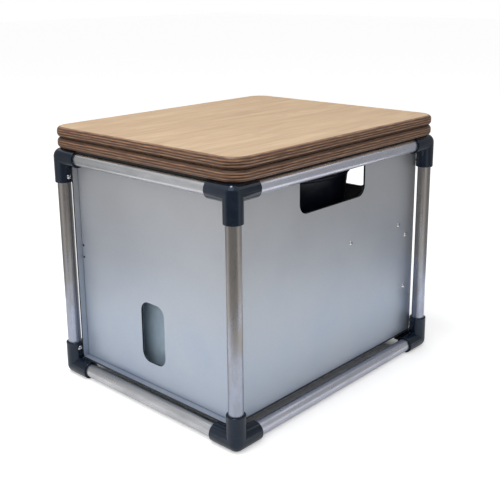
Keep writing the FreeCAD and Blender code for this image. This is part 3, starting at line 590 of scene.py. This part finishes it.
def screw_tree():
    """A dome head with a hexagon socket on a plain shank, its seat at the origin."""
    tree, given, result = new_tree("dome_screws", [
        ("Head diameter", "Float"), ("Head height", "Float"), ("Socket width", "Float"),
        ("Socket depth", "Float"), ("Shank diameter", "Float"), ("Shank length", "Float"),
        ("Seed", "Int"), ("Material", "Material")])
    head, height = given["Head diameter"], given["Head height"]
    radius = calc(tree, "DIVIDE", head, 2.0)
    # The dome is the cap of a ball whose radius follows from the head's width and height
    squares = calc(tree, "ADD", calc(tree, "MULTIPLY", radius, radius),
                   calc(tree, "MULTIPLY", height, height))
    ball = calc(tree, "DIVIDE", squares, calc(tree, "MULTIPLY", height, 2.0))
    sphere = add(tree, "GeometryNodeMeshUVSphere", {"Segments": 36, "Rings": 40, "Radius": ball})
    sphere = raised(tree, sphere, calc(tree, "SUBTRACT", height, ball))
    room = calc(tree, "MULTIPLY", head, 2.0)
    block_size = add(tree, "ShaderNodeCombineXYZ", {0: room, 1: room, 2: room})
    block = add(tree, "GeometryNodeMeshCube", {"Size": block_size.outputs[0]})
    block = raised(tree, block, head)
    dome = add(tree, "GeometryNodeMeshBoolean", operation="INTERSECT", solver="EXACT")
    tree.links.new(sphere.outputs[0], dome.inputs["Mesh 2"])
    tree.links.new(block.outputs[0], dome.inputs["Mesh 2"])
    socket_radius = calc(tree, "DIVIDE", given["Socket width"], math.sqrt(3))
    socket = add(tree, "GeometryNodeMeshCylinder", {
        "Vertices": 6, "Radius": socket_radius, "Depth": calc(tree, "MULTIPLY", given["Socket depth"], 2.0)})
    socket = raised(tree, socket, height)
    cut = add(tree, "GeometryNodeMeshBoolean", {"Mesh 1": dome.outputs[0]}, operation="DIFFERENCE",
              solver="EXACT")
    tree.links.new(socket.outputs[0], cut.inputs["Mesh 2"])
    shank = add(tree, "GeometryNodeMeshCylinder", {
        "Vertices": SHANK_SIDES, "Radius": calc(tree, "DIVIDE", given["Shank diameter"], 2.0),
        "Depth": given["Shank length"]})
    shank = raised(tree, shank, calc(tree, "MULTIPLY", given["Shank length"], -0.5))
    screw = add(tree, "GeometryNodeJoinGeometry")
    tree.links.new(cut.outputs[0], screw.inputs[0])
    tree.links.new(shank.outputs[0], screw.inputs[0])
    set_on_points(tree, given, screw, result)
    return tree


# %% Grow a tree's result into a plain mesh
CREASE = math.radians(35)


def grow(name, start_mesh, tree, values):
    """Runs a Geometry Nodes tree on a start mesh and keeps the result as a plain mesh object."""
    source = bpy.data.objects.new(name + "_source", start_mesh)
    bpy.context.scene.collection.objects.link(source)
    modifier = source.modifiers.new("nodes", "NODES")
    modifier.node_group = tree
    by_name = {s.name: s.identifier for s in tree.interface.items_tree if s.in_out == "INPUT"}
    for label, value in values.items():
        modifier[by_name[label]] = value
    depsgraph = bpy.context.evaluated_depsgraph_get()
    mesh = bpy.data.meshes.new_from_object(source.evaluated_get(depsgraph))
    bpy.data.objects.remove(source)
    mesh.name = name
    piece = bpy.data.objects.new(name, mesh)
    bpy.context.scene.collection.objects.link(piece)
    mesh.set_sharp_from_angle(angle=CREASE)
    return piece


def point_cloud(name, places):
    """A mesh of bare points, one for each place, that carry the screws' axes."""
    mesh = bpy.data.meshes.new(name)
    mesh.from_pydata([p["point"] for p in places], [], [])
    axes = mesh.attributes.new("axis", "FLOAT_VECTOR", "POINT")
    for item, place in zip(axes.data, places):
        item.vector = place["axis"]
    return mesh


BODY_OF = {node: body for body, names in frame["record"]["behaviour"]["bodies"].items() for node in names}


def stands_for(piece, *names):
    """The piece takes the place of CAD nodes, and rides on their body."""
    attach(piece, BODY_OF[names[0]])
    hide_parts(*names)


# %% [markdown]
# A moulded connector has no knife edges: the mould's own corners are rounded, inside and out, so where
# two sockets meet a narrow fillet catches a line of light. The CAD connector has the sockets, the round
# corner and the foot flat. A copy of it, merged to a closed shell, gets a Bevel on its sharp edges alone.
# The two clips that hinge the seat board on the rear rail are moulded too, and get the same.

# %% Connectors with rounded edges
FILLET_MM = 0.7
FILLET_STEPS = 3
SHARP = math.radians(28)
LEVEL = math.radians(0.5)


def plain_copy(name, piece_name):
    """A CAD node's mesh as a closed shell of its own, ready for modifiers."""
    shape = merged_copy(name)
    bmesh.ops.dissolve_limit(shape, angle_limit=LEVEL, verts=shape.verts, edges=shape.edges)
    mesh = bpy.data.meshes.new(piece_name)
    shape.to_mesh(mesh)
    shape.free()
    piece = bpy.data.objects.new(piece_name, mesh)
    bpy.context.scene.collection.objects.link(piece)
    return piece


def settle(piece):
    """Applies a piece's modifiers and shades it smooth apart from its creases."""
    depsgraph = bpy.context.evaluated_depsgraph_get()
    mesh = bpy.data.meshes.new_from_object(piece.evaluated_get(depsgraph))
    old = piece.data
    piece.modifiers.clear()
    piece.data = mesh
    bpy.data.meshes.remove(old)
    mesh.name = piece.name
    mesh.shade_smooth()
    mesh.set_sharp_from_angle(angle=CREASE)


MOULDED_NODES = [name for name in nodes
                 if name.startswith(("connector_", "seat_clip")) and not name.endswith("_screws")]
for name in MOULDED_NODES:
    piece = plain_copy(name, "moulded_" + name)
    bevel = piece.modifiers.new("fillets", "BEVEL")
    bevel.width = FILLET_MM * MM
    bevel.segments = FILLET_STEPS
    bevel.limit_method = "ANGLE"
    bevel.angle_limit = SHARP
    settle(piece)
    piece.data.materials.clear()
    piece.data.materials.append(connector_nylon)
    stands_for(piece, name)
print("moulded pieces", len(MOULDED_NODES))

# %% Set the dome screws
SOCKET_WIDTH_SHARE = 0.36
SOCKET_DEPTH_SHARE = 0.55
dome_screws = screw_tree()


def set_dome_screws(piece_name, places, shank_length, seed):
    """A piece with a dome-head screw in every place, all as large as the first."""
    size = places[0]
    return grow(piece_name, point_cloud(piece_name + "_places", places), dome_screws, {
        "Head diameter": size["head"], "Head height": size["height"],
        "Socket width": size["head"] * SOCKET_WIDTH_SHARE,
        "Socket depth": size["height"] * SOCKET_DEPTH_SHARE,
        "Shank diameter": size["shank"], "Shank length": shank_length, "Seed": seed, "Material": dome_steel})


for seed, name in enumerate(SCREW_NODES):
    places = screw_places(name)
    piece = set_dome_screws("socket_" + name, places, places[0]["length"], seed)
    stands_for(piece, name)
    print(piece.name, len(piece.data.polygons), "faces")

# %% [markdown]
# Each side panel has one more dome-head screw, far below its rearmost one and in line with it. It is a
# short blind screw that ends inside the sheet and holds nothing else, so it is a piece of the scene alone.

# %% Set the low blind screws
BELOW_MM = 86.0
BLIND_MM = 2.9
LOW_SEED = 40


def low_screw_places():
    """The places of the side panels' rearmost screws, moved down."""
    sides = [place for place in screw_places("panel_screws") if place["axis"].x]
    rear = max(place["point"].y for place in sides)
    return [{**place, "point": place["point"] - Vector((0, 0, BELOW_MM * MM))}
            for place in sides if place["point"].y > rear - MM]


places = low_screw_places()
piece = set_dome_screws("low_panel_screws", places, BLIND_MM * MM, LOW_SEED)
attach(piece, "frame")
print(piece.name, len(places), "screws, in mm at",
      [tuple(round(v / MM, 1) for v in place["point"]) for place in places])

# %% [markdown]
# The hinges' screws are countersunk: a cone that fills the leaf's sink, level with its face, with a cross
# recess. The same points and the same grow() serve them, with a tree of their own that turns a cone and
# takes two crossed bars out of it.

# %% Set the countersunk screws
SINK_MM = 0.8
RECESS_DEPTH_MM = 0.6
RECESS_WIDTH_SHARE, RECESS_THICKNESS_SHARE = 0.55, 0.16
CONE_SIDES = 32
SUNK_SEED = 20


def sunk_screw_tree():
    """A countersunk head with a cross recess on a plain shank, its face at the origin."""
    tree, given, result = new_tree("countersunk_screws", [
        ("Head diameter", "Float"), ("Head height", "Float"), ("Recess width", "Float"),
        ("Recess thickness", "Float"), ("Recess depth", "Float"), ("Shank diameter", "Float"),
        ("Shank length", "Float"), ("Seed", "Int"), ("Material", "Material")])
    rim = calc(tree, "DIVIDE", given["Head diameter"], 2.0)
    neck = calc(tree, "DIVIDE", given["Shank diameter"], 2.0)
    cone = add(tree, "GeometryNodeMeshCone", {
        "Vertices": CONE_SIDES, "Radius Top": rim, "Radius Bottom": neck, "Depth": given["Head height"]})
    cone = raised(tree, cone, calc(tree, "MULTIPLY", given["Head height"], -1.0))
    deep = calc(tree, "MULTIPLY", given["Recess depth"], 2.0)
    cut = add(tree, "GeometryNodeMeshBoolean", {"Mesh 1": cone.outputs[0]}, operation="DIFFERENCE",
              solver="EXACT")
    for sides in ((given["Recess width"], given["Recess thickness"]),
                  (given["Recess thickness"], given["Recess width"])):
        size = add(tree, "ShaderNodeCombineXYZ", {0: sides[0], 1: sides[1], 2: deep})
        bar = add(tree, "GeometryNodeMeshCube", {"Size": size.outputs[0]})
        tree.links.new(bar.outputs[0], cut.inputs["Mesh 2"])
    length = calc(tree, "SUBTRACT", given["Shank length"], given["Head height"])
    shank = add(tree, "GeometryNodeMeshCylinder", {"Vertices": SHANK_SIDES, "Radius": neck, "Depth": length})
    centre = calc(tree, "MULTIPLY", calc(tree, "ADD", given["Shank length"], given["Head height"]), -0.5)
    shank = raised(tree, shank, centre)
    screw = add(tree, "GeometryNodeJoinGeometry")
    tree.links.new(cut.outputs[0], screw.inputs[0])
    tree.links.new(shank.outputs[0], screw.inputs[0])
    set_on_points(tree, given, screw, result)
    return tree


sunk_screws = sunk_screw_tree()
for seed, name in enumerate(SUNK_NODES):
    places = screw_places(name)
    size = places[0]
    piece = grow("cross_" + name, point_cloud(name, places), sunk_screws, {
        "Head diameter": size["head"], "Head height": SINK_MM * MM,
        "Recess width": size["head"] * RECESS_WIDTH_SHARE,
        "Recess thickness": size["head"] * RECESS_THICKNESS_SHARE, "Recess depth": RECESS_DEPTH_MM * MM,
        "Shank diameter": size["shank"], "Shank length": size["length"], "Seed": SUNK_SEED + seed,
        "Material": stainless})
    stands_for(piece, name)
    print(piece.name, len(piece.data.polygons), "faces")

# %% [markdown]
# The studio is a white floor under a white sky, with a large soft lamp above the front and a small one
# that puts a crisp spark on the plastics. As a light the sky is dimmer than it looks, so that all the
# light together adds up to about one and a colour renders about as it is written. In the photograph the
# tubes are dark above and bright near the ground: the room round the table was dark, and only the table
# was white. A grey screen that only reflections see stands round the object and gives the same look. It
# is darkest behind the camera and has a pale card left and right of it, which draw light lines down the
# sides of every tube.

# %% Studio
SKY_LIGHT = 0.54
FLOOR_GLOW = 0.42
FLOOR_REACH = 12.0
# Distances outside the shaded patch, which ends SHADE_INSET inside the object's box
SHADE_INSET = 0.045
GLOW_FULL = 0.035
MIRRORED_GLOW_FROM, MIRRORED_GLOW_FULL = 0.02, 0.24
SCREEN_RADIUS = 0.62
SCREEN_HEIGHT = 0.6
SCREEN_SIDES = 48
SCREEN_GREYS = ((0.0, "#AFAFAF"), (0.26, "#AFAFAF"), (0.29, "#F0F0F0"), (0.33, "#F0F0F0"),
                (0.39, "#A0A0A0"), (0.575, "#A0A0A0"), (0.615, "#F0F0F0"), (0.65, "#F0F0F0"),
                (0.7, "#ACACAC"), (0.79, "#ACACAC"), (0.85, "#AFAFAF"), (1.0, "#AFAFAF"))


def seen_ray(tree):
    """One for the rays that show a background: straight from the camera, mirrored, or through glass."""
    path = add(tree, "ShaderNodeLightPath").outputs
    return calc(tree, "MAXIMUM", calc(tree, "MAXIMUM", path["Is Camera Ray"], path["Is Glossy Ray"]),
                path["Is Transmission Ray"])


def make_sky():
    """A sky that looks white and lights the object with SKY_LIGHT."""
    world = bpy.data.worlds.new("white_sky")
    bpy.context.scene.world = world
    world.use_nodes = True
    tree = world.node_tree
    sky = tree.nodes["Background"]
    sky.inputs["Color"].default_value = (1, 1, 1, 1)
    tree.links.new(between(tree, seen_ray(tree), 0.0, 1.0, SKY_LIGHT, 1.0), sky.inputs["Strength"])


def stage_piece(name, points, faces, material):
    """A piece of the studio, which is no part of the object."""
    mesh = bpy.data.meshes.new(name)
    mesh.from_pydata(points, [], faces)
    mesh.materials.append(material)
    piece = bpy.data.objects.new(name, mesh)
    bpy.context.scene.collection.objects.link(piece)
    return piece


def make_floor():
    """A white floor that glows like the sky, apart from a patch under the object."""
    material, tree, shader, place = start_material("matt_white_floor")
    shader.inputs["Base Color"].default_value = paint("#FBFBFB")
    shader.inputs["Roughness"].default_value = 0.95
    shader.inputs["Emission Color"].default_value = (1, 1, 1, 1)
    # Under the object the floor keeps its shade, so the glow starts at the object's outline
    spot = add(tree, "ShaderNodeSeparateXYZ", {0: place}).outputs
    off = [calc(tree, "SUBTRACT", calc(tree, "ABSOLUTE", spot[i]), cad_high[i] - SHADE_INSET)
           for i in (0, 1)]
    outside = calc(tree, "MAXIMUM", off[0], off[1])
    camera_ray = add(tree, "ShaderNodeLightPath").outputs["Is Camera Ray"]
    near = calc(tree, "MULTIPLY", camera_ray, between(tree, outside, 0.0, GLOW_FULL, 0.0, FLOOR_GLOW))
    mirrored = calc(tree, "MULTIPLY", seen_ray(tree),
                    between(tree, outside, MIRRORED_GLOW_FROM, MIRRORED_GLOW_FULL, 0.0, FLOOR_GLOW))
    tree.links.new(calc(tree, "MAXIMUM", near, mirrored), shader.inputs["Emission Strength"])
    corners = [(x * FLOOR_REACH, y * FLOOR_REACH, 0) for x, y in ((-1, -1), (1, -1), (1, 1), (-1, 1))]
    stage_piece("floor", corners, [(0, 1, 2, 3)], material)


def make_screen():
    """A dark ring wall for reflections alone."""
    material, tree, shader, place = start_material("dark_felt_screen")
    shader.inputs["Base Color"].default_value = (0, 0, 0, 1)
    shader.inputs["Specular IOR Level"].default_value = 0.0
    spot = add(tree, "ShaderNodeSeparateXYZ", {0: place}).outputs
    # The turn round the object: a half towards the camera, a quarter to its left, three quarters right
    ahead = calc(tree, "ADD", calc(tree, "MULTIPLY", spot[0], math.sin(CAMERA_TURN)),
                 calc(tree, "MULTIPLY", spot[1], -math.cos(CAMERA_TURN)))
    aside = calc(tree, "ADD", calc(tree, "MULTIPLY", spot[0], math.cos(CAMERA_TURN)),
                 calc(tree, "MULTIPLY", spot[1], math.sin(CAMERA_TURN)))
    round_share = calc(tree, "DIVIDE", calc(tree, "ARCTAN2", aside, ahead), math.tau)
    grey = ramp(tree, calc(tree, "ADD", round_share, 0.5), SCREEN_GREYS)
    tree.links.new(grey, shader.inputs["Emission Color"])
    shader.inputs["Emission Strength"].default_value = 1.0
    turns = [math.tau * i / SCREEN_SIDES for i in range(SCREEN_SIDES)]
    points = [(SCREEN_RADIUS * math.cos(turn), SCREEN_RADIUS * math.sin(turn), z)
              for z in (0.0, SCREEN_HEIGHT) for turn in turns]
    following = [(i + 1) % SCREEN_SIDES for i in range(SCREEN_SIDES)]
    faces = [(i, after, SCREEN_SIDES + after, SCREEN_SIDES + i) for i, after in enumerate(following)]
    screen = stage_piece("screen", points, faces, material)
    for ray in ("camera", "diffuse", "transmission", "shadow"):
        setattr(screen, "visible_" + ray, False)


def make_lamp(name, azimuth, elevation, distance, size, power):
    """A square soft lamp that looks at the object."""
    a, e = math.radians(azimuth), math.radians(elevation)
    back = Vector((math.sin(a) * math.cos(e), -math.cos(a) * math.cos(e), math.sin(e)))
    data = bpy.data.lights.new(name, "AREA")
    data.size = size
    data.energy = power
    lamp = bpy.data.objects.new(name, data)
    bpy.context.scene.collection.objects.link(lamp)
    lamp.matrix_world = Matrix.Translation(CAMERA_TARGET + back * distance) @ (
        back.to_track_quat("Z", "Y").to_matrix().to_4x4())


make_sky()
make_floor()
make_screen()
make_lamp("wide_softbox", azimuth=16, elevation=50, distance=2.4, size=2.2, power=18)
make_lamp("spark_softbox", azimuth=-8, elevation=74, distance=2.2, size=0.6, power=17)
bpy.context.scene.view_settings.view_transform = "Standard"
